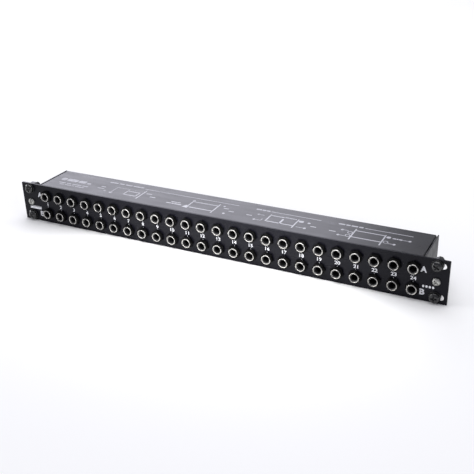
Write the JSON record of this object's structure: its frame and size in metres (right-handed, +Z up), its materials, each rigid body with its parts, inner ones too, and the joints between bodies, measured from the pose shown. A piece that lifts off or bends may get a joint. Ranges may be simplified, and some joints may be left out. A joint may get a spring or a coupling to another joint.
{
  "type": "audio patch bay",
  "caption": "Rack panel with two rows of phone jacks on the front and rear of a shallow folded steel chassis, and rack screws that turn and slide in slotted ears.",
  "frame": {"origin": "the middle of the whole object: mid width of the panel, half way between the front and rear jack rings, mid height", "axes": "+X to the right seen from the front, +Y to the rear, +Z up"},
  "size_m": [0.4826, 0.062, 0.044],
  "materials": {
    "panel_paint": "satin powder coat",
    "cover_paint": "satin black enamel",
    "bracket_paint": "satin black enamel",
    "bottom_paint": "satin black enamel",
    "jack_plastic": "moulded black plastic",
    "nickel": "bright nickel plate",
    "black_nut": "black oxide",
    "spring_metal": "tinned phosphor bronze",
    "board": "green solder resist",
    "zinc": "zinc plate",
    "black_zinc": "black zinc plate",
    "black_screw": "black oxide",
    "washer": "black nylon"
  },
  "bodies": {
    "chassis": {"front_panel": "panel_paint", "cover": "cover_paint", "bottom_plate": "bottom_paint", "end_bracket_left": "bracket_paint", "end_bracket_right": "bracket_paint", "channel_boards": "board", "panel_screws": "zinc", "panel_screw_nuts": "zinc", "bottom_screws": "black_zinc", "jack_bodies_front_a": "jack_plastic", "jack_ferrules_front_a": "nickel", "jack_nuts_front_a": "black_nut", "tip_springs_front_a": "spring_metal", "ring_springs_front_a": "spring_metal", "sleeve_springs_front_a": "spring_metal", "normal_contacts_front_a": "spring_metal", "jack_bodies_rear_a": "jack_plastic", "jack_ferrules_rear_a": "nickel", "jack_nuts_rear_a": "black_nut", "tip_springs_rear_a": "spring_metal", "ring_springs_rear_a": "spring_metal", "sleeve_springs_rear_a": "spring_metal", "normal_contacts_rear_a": "spring_metal", "jack_bodies_front_b": "jack_plastic", "jack_ferrules_front_b": "nickel", "jack_nuts_front_b": "black_nut", "tip_springs_front_b": "spring_metal", "ring_springs_front_b": "spring_metal", "sleeve_springs_front_b": "spring_metal", "normal_contacts_front_b": "spring_metal", "jack_bodies_rear_b": "jack_plastic", "jack_ferrules_rear_b": "nickel", "jack_nuts_rear_b": "black_nut", "tip_springs_rear_b": "spring_metal", "ring_springs_rear_b": "spring_metal", "sleeve_springs_rear_b": "spring_metal", "normal_contacts_rear_b": "spring_metal"},
    "rack_nut_top_left": {"rack_nut_top_left": "black_zinc"},
    "rack_washer_top_left": {"rack_washer_top_left": "washer"},
    "rack_screw_top_left": {"rack_screw_top_left": "black_screw"},
    "rack_nut_top_right": {"rack_nut_top_right": "black_zinc"},
    "rack_washer_top_right": {"rack_washer_top_right": "washer"},
    "rack_screw_top_right": {"rack_screw_top_right": "black_screw"},
    "rack_nut_bottom_left": {"rack_nut_bottom_left": "black_zinc"},
    "rack_washer_bottom_left": {"rack_washer_bottom_left": "washer"},
    "rack_screw_bottom_left": {"rack_screw_bottom_left": "black_screw"},
    "rack_nut_bottom_right": {"rack_nut_bottom_right": "black_zinc"},
    "rack_washer_bottom_right": {"rack_washer_bottom_right": "washer"},
    "rack_screw_bottom_right": {"rack_screw_bottom_right": "black_screw"}
  },
  "joints": [
    {"name": "rack_slide_top_left", "type": "slide", "parent": "chassis", "child": "rack_nut_top_left", "axis": [-1, 0, 0], "range_m": [0, 0.0053]},
    {"name": "rack_lift_top_left", "type": "slide", "parent": "rack_nut_top_left", "child": "rack_washer_top_left", "axis": [0, -1, 0], "range_m": [0, 0.004]},
    {"name": "rack_turn_top_left", "type": "hinge", "parent": "rack_washer_top_left", "child": "rack_screw_top_left", "pos_m": [-0.2299, 0, 0.01588], "axis": [0, -1, 0], "range_deg": [0, 1440.01]},
    {"name": "rack_slide_top_right", "type": "slide", "parent": "chassis", "child": "rack_nut_top_right", "axis": [1, 0, 0], "range_m": [0, 0.0053]},
    {"name": "rack_lift_top_right", "type": "slide", "parent": "rack_nut_top_right", "child": "rack_washer_top_right", "axis": [0, -1, 0], "range_m": [0, 0.004]},
    {"name": "rack_turn_top_right", "type": "hinge", "parent": "rack_washer_top_right", "child": "rack_screw_top_right", "pos_m": [0.2299, 0, 0.01588], "axis": [0, -1, 0], "range_deg": [0, 1440.01]},
    {"name": "rack_slide_bottom_left", "type": "slide", "parent": "chassis", "child": "rack_nut_bottom_left", "axis": [-1, 0, 0], "range_m": [0, 0.0053]},
    {"name": "rack_lift_bottom_left", "type": "slide", "parent": "rack_nut_bottom_left", "child": "rack_washer_bottom_left", "axis": [0, -1, 0], "range_m": [0, 0.004]},
    {"name": "rack_turn_bottom_left", "type": "hinge", "parent": "rack_washer_bottom_left", "child": "rack_screw_bottom_left", "pos_m": [-0.2299, 0, -0.01588], "axis": [0, -1, 0], "range_deg": [0, 1440.01]},
    {"name": "rack_slide_bottom_right", "type": "slide", "parent": "chassis", "child": "rack_nut_bottom_right", "axis": [1, 0, 0], "range_m": [0, 0.0053]},
    {"name": "rack_lift_bottom_right", "type": "slide", "parent": "rack_nut_bottom_right", "child": "rack_washer_bottom_right", "axis": [0, -1, 0], "range_m": [0, 0.004]},
    {"name": "rack_turn_bottom_right", "type": "hinge", "parent": "rack_washer_bottom_right", "child": "rack_screw_bottom_right", "pos_m": [0.2299, 0, -0.01588], "axis": [0, -1, 0], "range_deg": [0, 1440.01]}
  ],
  "couplings": [
    {"joint": "rack_turn_top_left", "follows": "rack_lift_top_left", "rad_per_m": 6283.2},
    {"joint": "rack_turn_top_right", "follows": "rack_lift_top_right", "rad_per_m": 6283.2},
    {"joint": "rack_turn_bottom_left", "follows": "rack_lift_bottom_left", "rad_per_m": 6283.2},
    {"joint": "rack_turn_bottom_right", "follows": "rack_lift_bottom_right", "rad_per_m": 6283.2}
  ]
}
